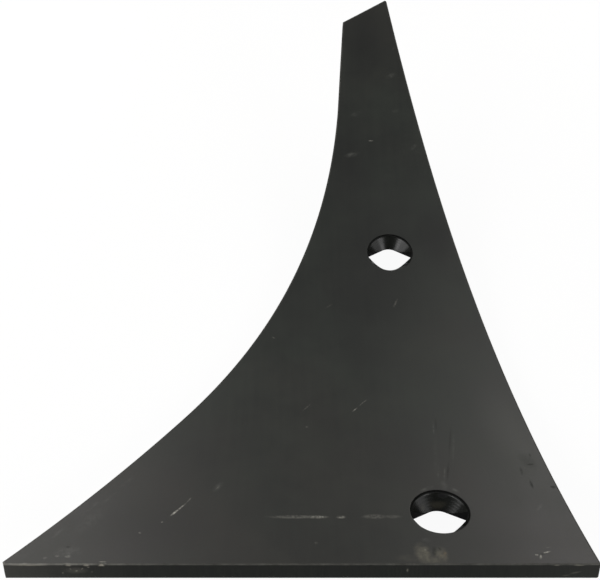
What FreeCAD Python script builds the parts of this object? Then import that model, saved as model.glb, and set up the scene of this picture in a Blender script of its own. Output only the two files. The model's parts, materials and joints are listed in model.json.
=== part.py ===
"""Front section of a plough mouldboard, the shin piece that meets the share.

The real piece is cut flat from 8 mm steel plate, punched for two double-nib plough bolts,
countersunk on its soil face and rolled to a single radius. It is modelled in the same order:
a flat blank, wrapped onto the rolling radius, given its thickness, then pierced.

Flat pattern: x runs along the share edge, from the wing tip (-) to the landside (+), and y runs
up the sheet from the share edge. Both are lengths on the soil face, the hollow one.
Rolled frame: the rolling axis is Z, the share edge lies at angle 0, and x of the flat is Z.
Shared frame: the plate lies on its back, hollow side up, X along the share edge, +Y towards the
neck and +Z up, with the origin on the surface it lies on, under the middle of its outline.
Lengths are in millimetres and angles in degrees.
"""
import FreeCAD, Part
import math
import os

import Sketcher

NODE = "mouldboard_front_section"

SIZES = (
    # the sheet and its roll
    ("plate_thickness", 8.0),
    ("roll_radius", 436.0),
    # the outline of the flat blank, from the wing tip round to the landside
    ("share_edge_length", 266.0),
    ("wing_edge_length", 121.0),
    ("wing_edge_angle", 53.9),
    ("throat_radius", 463.0),
    ("neck_edge_length", 60.5),
    ("neck_edge_angle", 86.4),
    ("top_edge_length", 34.9),
    ("top_edge_angle", 29.0),
    ("landside_radius", 5450.0),
    ("corner_round", 1.2),
    ("edge_break", 0.5),
    # where the bolts go: up from the share edge, and in from the landside edge
    ("low_hole_height", 33.8),
    ("low_hole_setback", 62.1),
    ("hole_spacing", 188.8),
    ("top_hole_setback", 42.5),
    # the seat of a countersunk bolt with two nibs
    ("head_radius", 14.0),
    ("head_land_depth", 1.5),
    ("countersink_angle", 45.0),
    ("shank_radius", 8.2),
    ("nib_reach", 13.7),
    ("nib_end_width", 3.6),
)

# how many samples carry each edge of the blank over to the rolled surface
SAMPLE_COUNT = 13
# how far a cutting tool stands proud of the face that it enters or leaves
TOOL_CLEARANCE = 3.0


def make_sheet(doc):
    """Write the driving dimensions as plain numbers, each with its name as alias."""
    sheet = doc.addObject("Spreadsheet::Sheet", "sizes")
    for row, (name, value) in enumerate(SIZES, start=1):
        sheet.set("A%d" % row, name)
        sheet.set("B%d" % row, str(value))
        sheet.setAlias("B%d" % row, name)
    doc.recompute()
    return sheet


def bind(sketch, constraint, size):
    """Add a dimension to a sketch and tie it to its cell."""
    index = sketch.addConstraint(constraint)
    sketch.renameConstraint(index, size)
    sketch.setExpression("Constraints." + size, "sizes." + size)


def polar(start, length, angle):
    """The point that lies length away from start, at angle from the x axis."""
    turn = math.radians(angle)
    return start + FreeCAD.Vector(length * math.cos(turn), length * math.sin(turn), 0)


def arc_between(start, end, radius):
    """An arc from start to end that turns left, with its centre left of the chord."""
    chord = end - start
    left = FreeCAD.Vector(-chord.y, chord.x, 0).normalize()
    centre = (start + end) * 0.5 + left * math.sqrt(radius ** 2 - (chord.Length / 2) ** 2)
    first = math.atan2(start.y - centre.y, start.x - centre.x)
    last = math.atan2(end.y - centre.y, end.x - centre.x)
    circle = Part.Circle(centre, FreeCAD.Vector(0, 0, 1), radius)
    return Part.ArcOfCircle(circle, first, last)


def draw_blank(doc, sheet):
    """Sketch the flat blank: straight cuts, the hollow throat and the bowed landside edge."""
    half_share = sheet.share_edge_length / 2
    wing_tip = FreeCAD.Vector(-half_share, 0, 0)
    heel = FreeCAD.Vector(half_share, 0, 0)
    throat_start = polar(wing_tip, sheet.wing_edge_length, sheet.wing_edge_angle)
    turn = sheet.neck_edge_angle - sheet.wing_edge_angle
    throat_chord = 2 * sheet.throat_radius * math.sin(math.radians(turn / 2))
    throat_end = polar(throat_start, throat_chord, sheet.wing_edge_angle + turn / 2)
    neck_corner = polar(throat_end, sheet.neck_edge_length, sheet.neck_edge_angle)
    peak = polar(neck_corner, sheet.top_edge_length, sheet.top_edge_angle)

    sketch = doc.addObject("Sketcher::SketchObject", "flat_blank")
    share = sketch.addGeometry(Part.LineSegment(wing_tip, heel))
    landside = sketch.addGeometry(arc_between(heel, peak, sheet.landside_radius))
    top = sketch.addGeometry(Part.LineSegment(neck_corner, peak))
    neck = sketch.addGeometry(Part.LineSegment(throat_end, neck_corner))
    throat = sketch.addGeometry(arc_between(throat_start, throat_end, sheet.throat_radius))
    wing = sketch.addGeometry(Part.LineSegment(wing_tip, throat_start))

    first, last, x_axis, y_axis = 1, 2, -1, -2
    rule = Sketcher.Constraint
    sketch.addConstraint([
        rule("Symmetric", share, first, share, last, y_axis),
        rule("PointOnObject", share, first, x_axis),
        rule("Coincident", share, last, landside, first),
        rule("Coincident", landside, last, top, last),
        rule("Coincident", top, first, neck, last),
        rule("Tangent", neck, first, throat, last),
        rule("Tangent", throat, first, wing, last),
        rule("Coincident", wing, first, share, first),
    ])
    bind(sketch, rule("Distance", share, sheet.share_edge_length), "share_edge_length")
    bind(sketch, rule("Distance", wing, sheet.wing_edge_length), "wing_edge_length")
    bind(sketch, rule("Angle", wing, math.radians(sheet.wing_edge_angle)), "wing_edge_angle")
    bind(sketch, rule("Radius", throat, sheet.throat_radius), "throat_radius")
    bind(sketch, rule("Distance", neck, sheet.neck_edge_length), "neck_edge_length")
    bind(sketch, rule("Angle", neck, math.radians(sheet.neck_edge_angle)), "neck_edge_angle")
    bind(sketch, rule("Distance", top, sheet.top_edge_length), "top_edge_length")
    bind(sketch, rule("Angle", top, math.radians(sheet.top_edge_angle)), "top_edge_angle")
    bind(sketch, rule("Radius", landside, sheet.landside_radius), "landside_radius")
    doc.recompute()
    return sketch


def offset_outline(doc, name, source, expression, join):
    """An outline parallel to another in the flat, its distance bound to the sheet."""
    outline = doc.addObject("Part::Offset2D", name)
    outline.Source = source
    outline.Join = join
    outline.setExpression("Value", expression)
    doc.recompute()
    return outline


def ease_corners(doc, blank):
    """Round the blank's corners, and draw the same outline inside the broken edges."""
    core = offset_outline(doc, "corner_centres", blank, "-sizes.corner_round", "Intersection")
    full = offset_outline(doc, "rounded_outline", core, "sizes.corner_round", "Arc")
    inner = offset_outline(
        doc, "face_outline", core, "sizes.corner_round - sizes.edge_break", "Arc")
    return full, inner


def wrap_outline(outline, soil_radius, radius):
    """Roll a flat outline onto a cylinder inside the sheet, square to the soil face."""
    edges = []
    for flat_edge in outline.Shape.Edges:
        points = []
        for flat in flat_edge.discretize(Number=SAMPLE_COUNT):
            turn = flat.y / soil_radius
            points.append(FreeCAD.Vector(radius * math.cos(turn), radius * math.sin(turn), flat.x))
        curve = Part.BSplineCurve()
        curve.interpolate(points)
        edges.append(curve.toShape())
    return Part.Wire(Part.__sortEdges__(edges))


def cylinder_face(radius, outline):
    """The stretch of a cylinder about the rolling axis that lies inside an outline."""
    cylinder = Part.Cylinder()
    cylinder.Radius = radius
    face = Part.Face(cylinder, outline)
    face.validate()
    return face


def true_plane(face):
    """The same face on a plane where it is flat, as along the share edge."""
    if face.findPlane() is None:
        return face
    return Part.makeFace(face.OuterWire, "Part::FaceMakerBullseye")


def roll_plate(doc, sheet, full, inner):
    """Roll the blank: soil face, broken edge, square cut edge, broken edge and back."""
    soil = sheet.roll_radius
    back = soil + sheet.plate_thickness
    rings = [
        wrap_outline(inner, soil, soil),
        wrap_outline(full, soil, soil + sheet.edge_break),
        wrap_outline(full, soil, back - sheet.edge_break),
        wrap_outline(inner, soil, back),
    ]
    solid, ruled = False, True
    cut_faces = [true_plane(face) for face in Part.makeLoft(rings, solid, ruled).Faces]
    skin = Part.makeShell(
        cut_faces + [cylinder_face(soil, rings[0]), cylinder_face(back, rings[-1])])
    skin.sewShape()
    plate = doc.addObject("Part::Feature", "rolled_plate")
    plate.Shape = Part.makeSolid(skin)
    return plate


def draw_nib_outline(doc, sheet, name):
    """Sketch the punched hole: a round shank with a tapering nib notch to each side."""
    shank, reach, half_end = sheet.shank_radius, sheet.nib_reach, sheet.nib_end_width / 2
    touch = math.atan2(half_end, reach) + math.acos(shank / math.hypot(reach, half_end))
    normal, centre = FreeCAD.Vector(0, 0, 1), FreeCAD.Vector(0, 0, 0)

    sketch = doc.addObject("Sketcher::SketchObject", name)
    rule = Sketcher.Constraint
    first, last, middle, origin, x_axis = 1, 2, 3, -1, -1

    def arc(start, stop):
        return sketch.addGeometry(Part.ArcOfCircle(Part.Circle(centre, normal, shank), start, stop))

    def line(start, stop):
        return sketch.addGeometry(Part.LineSegment(FreeCAD.Vector(*start), FreeCAD.Vector(*stop)))

    aside, up = shank * math.cos(touch), shank * math.sin(touch)
    right_end = line((reach, -half_end), (reach, half_end))
    right_upper = line((reach, half_end), (aside, up))
    upper = arc(touch, math.pi - touch)
    left_upper = line((-aside, up), (-reach, half_end))
    left_end = line((-reach, half_end), (-reach, -half_end))
    left_lower = line((-reach, -half_end), (-aside, -up))
    lower = arc(math.pi + touch, 2 * math.pi - touch)
    right_lower = line((aside, -up), (reach, -half_end))

    for before, after in ((right_upper, upper), (upper, left_upper),
                          (left_lower, lower), (lower, right_lower)):
        sketch.addConstraint(rule("Tangent", before, last, after, first))
    for before, after in ((right_end, right_upper), (left_upper, left_end),
                          (left_end, left_lower), (right_lower, right_end)):
        sketch.addConstraint(rule("Coincident", before, last, after, first))
    sketch.addConstraint([
        rule("Coincident", upper, middle, origin, first),
        rule("Coincident", lower, middle, origin, first),
        rule("Equal", upper, lower),
        rule("Symmetric", right_end, first, right_end, last, x_axis),
        rule("Symmetric", left_end, first, left_end, last, x_axis),
    ])
    bind(sketch, rule("Radius", upper, shank), "shank_radius")
    for side, end, low, high in (("right", right_end, first, last), ("left", left_end, last, first)):
        width = sketch.addConstraint(rule("DistanceY", end, low, end, high, half_end * 2))
        sketch.renameConstraint(width, side + "_width")
        sketch.setExpression("Constraints." + side + "_width", "sizes.nib_end_width")
        inner, outer = ((origin, first), (end, first))[::1 if side == "right" else -1]
        distance = sketch.addConstraint(rule("DistanceX", *inner, *outer, reach))
        sketch.renameConstraint(distance, side + "_reach")
        sketch.setExpression("Constraints." + side + "_reach", "sizes.nib_reach")
    doc.recompute()
    return sketch


def make_hole_tool(doc, sheet, name):
    """One bolt seat as a solid: its z axis points from the soil face into the sheet."""
    land = doc.addObject("Part::Cylinder", name + "_land")
    land.setExpression("Radius", "sizes.head_radius")
    land.setExpression("Height", "sizes.head_land_depth + %g" % TOOL_CLEARANCE)
    land.Placement.Base = FreeCAD.Vector(0, 0, -TOOL_CLEARANCE)

    cone = doc.addObject("Part::Cone", name + "_countersink")
    cone.setExpression("Radius1", "sizes.head_radius")
    cone.setExpression("Radius2", "sizes.shank_radius")
    cone.setExpression("Height", "(sizes.head_radius - sizes.shank_radius) / tan(sizes.countersink_angle)")
    cone.setExpression("Placement.Base.z", "sizes.head_land_depth")

    outline = draw_nib_outline(doc, sheet, name + "_nib_outline")
    punch = doc.addObject("Part::Extrusion", name + "_punch")
    punch.Base = outline
    punch.DirMode = "Custom"
    punch.Dir = FreeCAD.Vector(0, 0, 1)
    punch.Solid = True
    punch.setExpression("LengthFwd", "sizes.plate_thickness + %g" % TOOL_CLEARANCE)

    tool = doc.addObject("Part::MultiFuse", name)
    tool.Shapes = [land, cone, punch]
    doc.recompute()
    return tool


def landside_x(sketch, height):
    """Where the landside edge of the flat blank lies at a height above the share edge."""
    level = Part.Line(FreeCAD.Vector(0, height, 0), FreeCAD.Vector(1, height, 0))
    return max(point.X for point in level.intersect(sketch.Geometry[1].toShape().Curve))


def place_tool(sheet, tool, flat_x, flat_y):
    """Set a hole tool square to the soil face at a point of the flat pattern."""
    turn = flat_y / sheet.roll_radius
    outward = FreeCAD.Vector(math.cos(turn), math.sin(turn), 0)
    along = FreeCAD.Vector(0, 0, 1)
    tool.Placement = FreeCAD.Placement(
        outward * sheet.roll_radius + along * flat_x,
        FreeCAD.Rotation(along, outward.cross(along), outward, "ZXY"))


def lay_down(plate):
    """Turn the plate so that it rests on its back in balance, and set it over the origin."""
    shape = plate.Shape
    heavy_way = math.degrees(math.atan2(shape.CenterOfGravity.y, shape.CenterOfGravity.x))
    balance = FreeCAD.Rotation(FreeCAD.Vector(0, 0, 1), -heavy_way)
    upright = FreeCAD.Rotation(
        FreeCAD.Vector(0, 0, -1), FreeCAD.Vector(0, 1, 0), FreeCAD.Vector(1, 0, 0), "ZXY")
    turn = upright.multiply(balance)
    plate.Placement = FreeCAD.Placement(FreeCAD.Vector(), turn)
    box = plate.Shape.optimalBoundingBox()
    plate.Placement = FreeCAD.Placement(FreeCAD.Vector(-box.Center.x, -box.Center.y, -box.ZMin), turn)


def check(doc):
    """Stop if any object failed or the finished plate isn't one sound solid."""
    for item in doc.Objects:
        if "Invalid" in item.State or "Error" in item.State:
            raise RuntimeError("%s failed: %s" % (item.Label, item.State))
    shape = doc.getObject(NODE).Shape
    if shape.isNull() or not shape.isValid() or len(shape.Solids) != 1:
        raise RuntimeError(NODE + " isn't one valid solid")


def main():
    doc = FreeCAD.newDocument("mouldboard_front")
    sheet = make_sheet(doc)
    blank = draw_blank(doc, sheet)
    full, inner = ease_corners(doc, blank)
    rolled = roll_plate(doc, sheet, full, inner)

    low_height = sheet.low_hole_height
    top_height = low_height + sheet.hole_spacing
    low_tool = make_hole_tool(doc, sheet, "low_bolt_hole")
    place_tool(sheet, low_tool, landside_x(blank, low_height) - sheet.low_hole_setback, low_height)
    top_tool = make_hole_tool(doc, sheet, "top_bolt_hole")
    place_tool(sheet, top_tool, landside_x(blank, top_height) - sheet.top_hole_setback, top_height)

    tools = doc.addObject("Part::MultiFuse", "bolt_holes")
    tools.Shapes = [low_tool, top_tool]
    plate = doc.addObject("Part::Cut", NODE)
    plate.Base = rolled
    plate.Tool = tools
    plate.Label = NODE
    doc.recompute()
    lay_down(plate)
    doc.recompute()

    check(doc)
    os.makedirs("parts", exist_ok=True)
    plate.Shape.exportStep("parts/%s.step" % plate.Label)
    box = plate.Shape.BoundBox
    print("%s: %.1f x %.1f x %.1f mm, %.0f mm3" % (
        plate.Label, box.XLength, box.YLength, box.ZLength, plate.Shape.Volume))


main()
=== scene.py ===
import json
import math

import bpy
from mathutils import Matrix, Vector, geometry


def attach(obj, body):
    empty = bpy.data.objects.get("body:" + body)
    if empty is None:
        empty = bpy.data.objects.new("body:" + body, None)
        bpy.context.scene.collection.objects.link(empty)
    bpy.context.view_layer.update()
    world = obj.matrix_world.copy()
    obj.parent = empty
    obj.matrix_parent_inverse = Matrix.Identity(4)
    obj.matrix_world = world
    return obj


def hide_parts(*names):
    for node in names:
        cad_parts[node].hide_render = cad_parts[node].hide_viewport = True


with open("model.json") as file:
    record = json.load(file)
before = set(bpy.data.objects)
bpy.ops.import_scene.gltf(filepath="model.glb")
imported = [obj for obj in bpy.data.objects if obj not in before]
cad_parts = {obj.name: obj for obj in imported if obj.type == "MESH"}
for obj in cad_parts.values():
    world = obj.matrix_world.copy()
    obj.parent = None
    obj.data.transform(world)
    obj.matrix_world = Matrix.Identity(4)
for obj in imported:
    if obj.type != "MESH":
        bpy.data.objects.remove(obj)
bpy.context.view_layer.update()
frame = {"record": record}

# %% [markdown]
# # A plough mouldboard's front section
# The object is one steel plate. It was cut flat, punched and countersunk for two bolts, rolled
# to one radius and dipped in black paint. The CAD frame is loaded first and is never moved.

NODE = "mouldboard_front_section"
MM = 0.001
mounts = {mount["name"]: mount for mount in frame["record"]["mounts"]}

# %% [markdown]
# ## Where the roll lies
# Rolling turns the flat sheet about one axis that runs parallel to X. The share edge is a mount
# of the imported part, so its place and its direction give that axis with no measuring: the axis
# lies one rolling radius from the soil face, square to the sheet. The lowest line of the plate
# is straight below the axis, and turns are counted from there.

# %% Find the rolling axis from the share edge
ROLL_RADIUS = 436.0
THICKNESS = 8.0

edge_middle = Vector(mounts["share_edge"]["pos_m"]) / MM
up_the_sheet = -Vector(mounts["share_edge"]["axis"])
into_sheet = Vector((0, up_the_sheet.z, -up_the_sheet.y))
axis_point = edge_middle - into_sheet * (ROLL_RADIUS + THICKNESS / 2)
first_turn = math.atan2(up_the_sheet.z, up_the_sheet.y)
print("rolling axis at y %.2f, z %.2f mm, share edge at %.2f degrees"
      % (axis_point.y, axis_point.z, math.degrees(first_turn)))


def unrolled(point):
    """The place on the flat blank, in mm, of a point of the shared frame in mm: z is up."""
    away = Vector((point.y - axis_point.y, axis_point.z - point.z))
    turn = math.atan2(away.x, away.y)
    return Vector((point.x - axis_point.x, ROLL_RADIUS * (turn - first_turn),
                   ROLL_RADIUS - away.length))


def hole_centre(name):
    """Where a bolt hole's axis meets the soil face of the flat blank."""
    flat = unrolled(Vector(mounts[name]["pos_m"]) / MM)
    return Vector((flat.x, flat.y))


bolt_holes = [hole_centre("low_bolt_hole"), hole_centre("top_bolt_hole")]
print("bolt holes in the flat:", [tuple(round(v, 2) for v in hole) for hole in bolt_holes])

# %% [markdown]
# ## The outline of the blank
# The blank has six edges: the straight share edge, a barely bowed landside edge, a slanting top
# cut, a short straight neck, the hollow throat and the straight wing edge. Each is a line or an
# arc, so a start, a heading, a length and a bend say all of it. Walking round them gives points
# close together, each with the direction that faces out of the plate. The corners are small
# arcs, because paint and handling leave no corner sharp. The neck's inner corner is the
# crispest, and the wing tip, which takes the knocks when plates are stacked, is a flat facet.

# %% The six cut edges of the blank
SHARE_EDGE, WING_EDGE, NECK_EDGE, TOP_EDGE = 266.0, 121.0, 60.5, 34.9
WING_ANGLE, NECK_ANGLE, TOP_ANGLE = 53.9, 86.4, 29.0
THROAT_RADIUS, LANDSIDE_RADIUS = 463.0, 5450.0
CORNER_ROUNDS = {"heel": 1.2, "peak": 1.2, "neck corner": 0.5, "wing tip": 1.2}
EDGE_STEP = 0.8
FACET_STEPS = 4


def along(angle, length):
    """A step of that length at that angle, in degrees, from the share edge."""
    return Vector((math.cos(math.radians(angle)), math.sin(math.radians(angle)))) * length


wing_tip, heel = Vector((-SHARE_EDGE / 2, 0)), Vector((SHARE_EDGE / 2, 0))
throat_turn = NECK_ANGLE - WING_ANGLE
throat_start = wing_tip + along(WING_ANGLE, WING_EDGE)
throat_chord = 2 * THROAT_RADIUS * math.sin(math.radians(throat_turn / 2))
throat_end = throat_start + along(WING_ANGLE + throat_turn / 2, throat_chord)
neck_corner = throat_end + along(NECK_ANGLE, NECK_EDGE)
peak = neck_corner + along(TOP_ANGLE, TOP_EDGE)
landside_chord = peak - heel
half_bow = math.asin(landside_chord.length / 2 / LANDSIDE_RADIUS)
landside_heading = math.atan2(landside_chord.y, landside_chord.x) - half_bow

cut_edges = [  # first corner, start, heading in degrees, length, bend in degrees per mm
    ("wing tip", wing_tip, 0.0, SHARE_EDGE, 0.0),
    ("heel", heel, math.degrees(landside_heading), 2 * half_bow * LANDSIDE_RADIUS,
     math.degrees(1 / LANDSIDE_RADIUS)),
    ("peak", peak, TOP_ANGLE + 180, TOP_EDGE, 0.0),
    ("neck corner", neck_corner, NECK_ANGLE + 180, NECK_EDGE, 0.0),
    (None, throat_end, NECK_ANGLE + 180, math.radians(throat_turn) * THROAT_RADIUS,
     -math.degrees(1 / THROAT_RADIUS)),
    (None, throat_start, WING_ANGLE + 180, WING_EDGE, 0.0),
]
print("cut edges, mm:", [round(edge[3], 1) for edge in cut_edges])

# %% Walk round the edges and their corners
def edge_point(edge, run):
    """The point that lies run mm along an edge, and the heading there."""
    _, start, heading, _, bend = edge
    chord_heading = heading + bend * run / 2
    half_turn = math.radians(bend * run / 2)
    chord = run * (math.sin(half_turn) / half_turn if half_turn else 1)
    return start + along(chord_heading, chord), heading + bend * run


def walk_outline():
    """Points round the blank, each with the unit vector that points out of the plate."""
    corners = []
    for before, after in zip(cut_edges[-1:] + cut_edges[:-1], cut_edges):
        turn = (after[2] - edge_point(before, before[3])[1]) % 360
        size = CORNER_ROUNDS.get(after[0], 0)
        corners.append((size * math.tan(math.radians(turn / 2)) if size else 0, turn, size))
    stations = []
    for index, edge in enumerate(cut_edges):
        cut_here, turn, size = corners[index]
        cut_next = corners[(index + 1) % len(cut_edges)][0]
        first, heading = edge_point(edge, cut_here)
        if edge[0] == "wing tip":
            facet_run = 2 * size * math.sin(math.radians(turn / 2))
            facet_start = first - along(heading - turn / 2, facet_run)
            for step in range(FACET_STEPS):
                lean = turn * 0.75 if step == 0 else turn / 2
                point = facet_start.lerp(first, step / FACET_STEPS)
                stations.append((point, along(heading - 90 - lean, 1)))
        elif size:
            centre = first + along(heading + 90, size)
            steps = math.ceil(turn / 9)
            for step in range(steps):
                outward = along(heading - 90 - turn * (1 - step / steps), 1)
                stations.append((centre + outward * size, outward))
        run = edge[3] - cut_here - cut_next
        steps = math.ceil(run / EDGE_STEP)
        for step in range(steps):
            point, heading = edge_point(edge, cut_here + run * step / steps)
            stations.append((point, along(heading - 90, 1)))
    return stations


outline = walk_outline()
print("outline:", len(outline), "points")

# %% [markdown]
# ## The bolt seats
# A plough bolt has a flat conical head with two nibs that keep it from turning. Its seat is a
# 28 mm mouth with a 1.5 mm land, a 90 degree countersink and a punched neck, round in the middle
# with a notch that tapers to each side. The rim of the mouth is barely broken, and the foot of
# the land is rounded. Seen from above, every horizontal cut of the seat is a ring about the
# bolt's axis, so rings are all that it takes. The neck's ring is the one that isn't round: in
# polar form it is a flat end at each nib, a straight flank and an arc. The photograph hints that
# the arc is a little wider on the share side. The countersink left fine turned rings in the
# cone. They are modelled a few micrometres deep, because the reflection of the lamps breaks on
# them.

# %% The neck in polar form
HEAD_RADIUS, LAND_DEPTH = 14.0, 1.5
SHANK_RADIUS, NIB_REACH, NIB_END_WIDTH = 8.2, 13.7, 3.6
SHARE_SIDE_RADIUS = 9.3
EVEN_TURNS = [11.75 + 2.2358 * step for step in range(36)]  # degrees, up to a right angle
end_corner = math.atan2(NIB_END_WIDTH / 2, NIB_REACH)


def neck_radius(turn):
    """How far the neck reaches from the bolt's axis, at an angle from the X direction."""
    fold = abs(math.remainder(turn, math.pi))
    middle = SHARE_SIDE_RADIUS if math.sin(turn) < 0 else SHANK_RADIUS
    flank_normal = end_corner + math.acos(middle / math.hypot(NIB_REACH, NIB_END_WIDTH / 2))
    if fold < end_corner:
        return NIB_REACH / math.cos(fold)
    if fold < flank_normal:
        return middle / math.cos(fold - flank_normal)
    return middle


def seat_turns():
    """Angles round the seat, with one at each corner of the nibs' ends."""
    corner = math.degrees(end_corner)
    side = [0.0, 0.33 * corner, 0.66 * corner, corner, corner + 1.2, corner + 3.0]
    side += EVEN_TURNS
    half = side + [180 - turn for turn in reversed(side[1:-1])]
    return [math.radians(turn) for turn in half + [turn + 180 for turn in half]]


print("nib corners at %.1f degrees, neck reaches %.1f mm up the sheet and %.1f mm down"
      % (math.degrees(end_corner), neck_radius(math.pi / 2), neck_radius(-math.pi / 2)))

# %% Rings of one seat, from the soil face to the back
RIM_BREAK = 0.22
LAND_FOOT_ROUND = 1.2
FOOT_STEPS = 5
CONE_STEPS = 30
WALL_SHARES = (0.05, 0.25, 0.5, 0.75, 0.95)
TURNED_RING_PITCH, TURNED_RING_DEPTH = 1.05, 0.005


def into_flat(hole, aside, upward, depth):
    """A point beside a bolt's axis, at a depth below the soil face there, as a flat point."""
    reach = math.hypot(ROLL_RADIUS + depth, upward)
    turn = math.atan2(upward, ROLL_RADIUS + depth)
    return Vector((hole.x + aside, hole.y + ROLL_RADIUS * turn, ROLL_RADIUS - reach))


def seat_profile(turn):
    """Radius and depth of each ring at one angle, from the soil face in. None is a face."""
    neck = neck_radius(turn)
    upward = HEAD_RADIUS * math.sin(turn)
    soil = math.sqrt(ROLL_RADIUS ** 2 - upward ** 2) - ROLL_RADIUS
    profile = [(HEAD_RADIUS + 3 * RIM_BREAK, None), (HEAD_RADIUS + RIM_BREAK, None)]
    for angle in (30, 60, 90):
        bend = math.radians(angle)
        profile.append((HEAD_RADIUS + RIM_BREAK * (1 - math.sin(bend)),
                        soil + RIM_BREAK * (1 - math.cos(bend))))
    profile.append((HEAD_RADIUS, soil + 2 * RIM_BREAK))
    foot = LAND_FOOT_ROUND * math.tan(math.radians(22.5))
    for step in range(FOOT_STEPS + 1):
        bend = math.radians(45 * step / FOOT_STEPS)
        profile.append((HEAD_RADIUS - LAND_FOOT_ROUND * (1 - math.cos(bend)),
                        LAND_DEPTH - foot + LAND_FOOT_ROUND * math.sin(bend)))
    cone_run = HEAD_RADIUS - neck
    first_run = foot * math.cos(math.radians(45))
    for step in range(1, CONE_STEPS + 1):
        run = first_run + (cone_run - first_run) * step / CONE_STEPS
        fade = min(1, 3 * (run - first_run), 3 * (cone_run - run))
        wave = TURNED_RING_DEPTH * fade * math.sin(2 * math.pi * run / TURNED_RING_PITCH)
        profile.append((HEAD_RADIUS - run - wave, LAND_DEPTH + run - wave))
    cone_end = LAND_DEPTH + cone_run
    back = THICKNESS - (neck * math.sin(turn)) ** 2 / 2 / (ROLL_RADIUS + THICKNESS)
    for share in WALL_SHARES:
        profile.append((neck, cone_end + (back - cone_end) * share))
    return profile, neck


print("rings of a seat, from the soil face in:", len(seat_profile(0.0)[0]))

# %% [markdown]
# ## The flat blank as one closed mesh
# The cut face all round, the two seats and the two broad faces share their border points, so
# the blank closes without any merging. The cut face and the seats are rows of quads. The broad
# faces are filled with an even field of points by a Delaunay triangulation, which keeps the
# triangles well shaped: long thin ones would show as facets once the sheet is bent. Each cut
# edge is broken by a half millimetre. Where the photograph shows a nick, the cut face's rings
# are pushed in, most at the arris and less further down.

# %% Nicks in the arris
NICKS = [  # x, y on the outline, half width along the edge, bite, depth that it reaches, mm
    (-87.6, 0.0, 1.3, 0.55, 2.2),
    (-95.2, 0.0, 0.9, 0.3, 1.2),
    (-103.0, 0.0, 1.6, 0.35, 1.4),
    (-121.5, 0.0, 1.4, 0.3, 1.0),
    (109.0, 0.0, 2.4, 0.25, 1.0),
    (31.0, 0.0, 1.5, 0.2, 1.0),
    (124.4, 50.0, 1.6, 0.5, 2.0),
    (66.0, 381.4, 1.4, 0.35, 1.6),
]


def bite(point, depth):
    """How far a nick pushes the cut face in, beside a point of the outline, at a depth."""
    pushed = 0.0
    for x, y, half_width, size, reach in NICKS:
        aside = math.hypot(point.x - x, point.y - y) / half_width
        if aside < 1 and depth < reach:
            pushed = max(pushed, size * (1 - aside ** 2) * (1 - depth / reach))
    return pushed


print("nicks:", len(NICKS), "and the deepest is", max(nick[3] for nick in NICKS), "mm")

# %% Rings of points with faces between them
FACE, CUT, CONE, PUNCHED = 0, 1, 2, 3
vertices, faces, kinds = [], [], []


def add_ring(points):
    """Add a closed ring of points and return their numbers."""
    start = len(vertices)
    vertices.extend(points)
    return list(range(start, start + len(points)))


def join_rings(rings, kind):
    """Fill between rings that follow each other, with the first one on the soil face."""
    for upper, lower in zip(rings, rings[1:]):
        for i in range(len(upper)):
            j = (i + 1) % len(upper)
            faces.append((upper[i], lower[i], lower[j], upper[j]))
            kinds.append(kind)


print("kinds of surface:", len((FACE, CUT, CONE, PUNCHED)))

# %% The cut face all round
EDGE_BREAK = 0.5
RING_GAP, FACE_SUPPORT = 0.25, 0.3
WALL_DEPTHS = (1.6, 2.8, 4.0, 5.2, 6.4)


def cut_profile():
    """Inset and depth of each ring of the cut face."""
    rounded = [(EDGE_BREAK * (1 - math.sin(a)), EDGE_BREAK * (1 - math.cos(a)))
               for a in (math.radians(angle) for angle in (0, 22.5, 45, 67.5, 90))]
    wall = [(0, EDGE_BREAK + RING_GAP)] + [(0, depth) for depth in WALL_DEPTHS]
    wall += [(0, THICKNESS - EDGE_BREAK - RING_GAP)]
    support = [(EDGE_BREAK + FACE_SUPPORT, 0)]
    lower = [(inset, THICKNESS - depth) for inset, depth in reversed(support + rounded)]
    return support + rounded + wall + lower


cut_rings = [
    add_ring([Vector((*(point - outward * (inset + bite(point, depth))), -depth))
              for point, outward in outline])
    for inset, depth in cut_profile()
]
join_rings(cut_rings, CUT)
print("cut face:", len(faces), "faces")

# %% The two seats
BACK_RING = 0.6
seat_angles = seat_turns()
seat_rims, neck_rims = [], []
for hole in bolt_holes:
    columns = []
    for turn in seat_angles:
        profile, neck = seat_profile(turn)
        column = []
        for radius, depth in profile:
            aside, upward = radius * math.cos(turn), radius * math.sin(turn)
            if depth is None:
                depth = math.sqrt(ROLL_RADIUS ** 2 - upward ** 2) - ROLL_RADIUS
            column.append(into_flat(hole, aside, upward, depth))
        for spread in (0.0, BACK_RING):
            radius = neck + spread
            upward = radius * math.sin(turn)
            back = math.sqrt((ROLL_RADIUS + THICKNESS) ** 2 - upward ** 2) - ROLL_RADIUS
            column.append(into_flat(hole, radius * math.cos(turn), upward, back))
        columns.append(column)
    rings = [add_ring([column[level] for column in columns]) for level in range(len(columns[0]))]
    turned_round = [list(reversed(ring)) for ring in rings]
    land_foot, back_rim = 6, len(rings) - 2
    cone_foot = land_foot + FOOT_STEPS + CONE_STEPS
    for first, last, kind in ((0, 1, FACE), (1, land_foot, PUNCHED), (land_foot, cone_foot, CONE),
                              (cone_foot, back_rim, PUNCHED), (back_rim, back_rim + 1, FACE)):
        join_rings(turned_round[first:last + 1], kind)
    seat_rims.append(rings[0])
    neck_rims.append(rings[-1])
print("with the seats:", len(faces), "faces")

# %% Even rows of points for the broad faces
FIELD_STEP = 2.6
ROW_STEP = FIELD_STEP * 0.866
CLEAR_OF_HOLES = 2.2


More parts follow.
